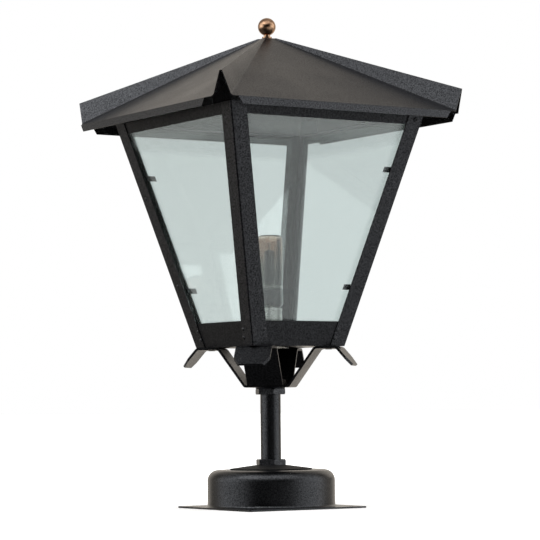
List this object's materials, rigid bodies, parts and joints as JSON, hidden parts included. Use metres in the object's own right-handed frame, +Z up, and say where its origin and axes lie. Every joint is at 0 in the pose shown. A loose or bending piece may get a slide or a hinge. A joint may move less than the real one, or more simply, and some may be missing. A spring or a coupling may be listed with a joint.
{
  "type": "post top lantern",
  "caption": "Tapered four-sided glass lantern on a short stem with a domed base, with a pinched-hip pyramid roof and a ball finial, for the top of a post or pillar.",
  "frame": {"origin": "middle of the base flange's underside", "axes": "+Z up along the stem; the four glass sides face +X, +Y, -X and -Y"},
  "size_m": [0.3508, 0.3508, 0.6026],
  "materials": {
    "black_paint": "fine-textured matt black paint over sheet steel",
    "window_glass": "clear float glass with a faint green tint",
    "lamp_glass": "clear tubular lamp glass",
    "lamp_burner_glass": "frosted inner burner",
    "plated_steel": "bright zinc plating",
    "white_ceramic": "glazed ceramic",
    "white_plastic": "moulded terminal plastic",
    "black_plastic": "moulded bush",
    "clip_spring_steel": "blackened spring steel",
    "aged_bronze": "polished brass turned brown with age"
  },
  "bodies": {
    "body": {"base_flange": "black_paint", "bottom_rail_back_left": "black_paint", "bottom_rail_back_right": "black_paint", "bottom_rail_front_left": "black_paint", "bottom_rail_front_right": "black_paint", "bottom_tray": "black_paint", "corner_angle_back": "black_paint", "corner_angle_front": "black_paint", "corner_angle_left": "black_paint", "corner_angle_right": "black_paint", "cover_disc": "black_paint", "cradle": "black_paint", "cradle_nuts": "black_paint", "cradle_screws": "black_paint", "earth_screw": "plated_steel", "glass_back_left": "window_glass", "glass_back_right": "window_glass", "glass_clips_long": "clip_spring_steel", "glass_clips_short": "clip_spring_steel", "glass_front_left": "window_glass", "glass_front_right": "window_glass", "head_nut_lower": "black_paint", "head_nut_upper": "black_paint", "head_washer": "plated_steel", "lampholder": "white_ceramic", "lampholder_screws": "plated_steel", "rail_rivets": "black_paint", "roof_screws": "black_paint", "stem_bush": "black_plastic", "stem_nut_inner": "plated_steel", "stem_nut_outer": "black_paint", "stem_tube": "black_paint", "stem_washer_inner": "plated_steel", "stile_back_left_left": "black_paint", "stile_back_left_right": "black_paint", "stile_back_right_left": "black_paint", "stile_back_right_right": "black_paint", "stile_front_left_left": "black_paint", "stile_front_left_right": "black_paint", "stile_front_right_left": "black_paint", "stile_front_right_right": "black_paint", "stile_rivets": "black_paint", "terminal_block": "white_plastic", "terminal_screws": "plated_steel", "top_rail_back_left": "black_paint", "top_rail_back_right": "black_paint", "top_rail_front_left": "black_paint", "top_rail_front_right": "black_paint"},
    "roof": {"roof": "black_paint", "roof_brackets": "black_paint"},
    "finial": {"finial": "aged_bronze", "finial_nut": "plated_steel", "finial_washer": "plated_steel"},
    "lamp": {"lamp_cap": "plated_steel", "lamp_glass": "lamp_glass", "lamp_burner": "lamp_burner_glass", "lamp_post": "plated_steel"}
  },
  "joints": [
    {"name": "roof_lift", "type": "slide", "parent": "body", "child": "roof", "axis": [0, 0, 1], "range_m": [0, 0.15]},
    {"name": "finial_turn", "type": "hinge", "parent": "roof", "child": "finial", "pos_m": [0, 0, 0.577], "axis": [0, 0, 1], "continuous": true},
    {"name": "lamp_lift", "type": "slide", "parent": "body", "child": "lamp", "axis": [0, 0, 1], "range_m": [0, 0.06]}
  ]
}
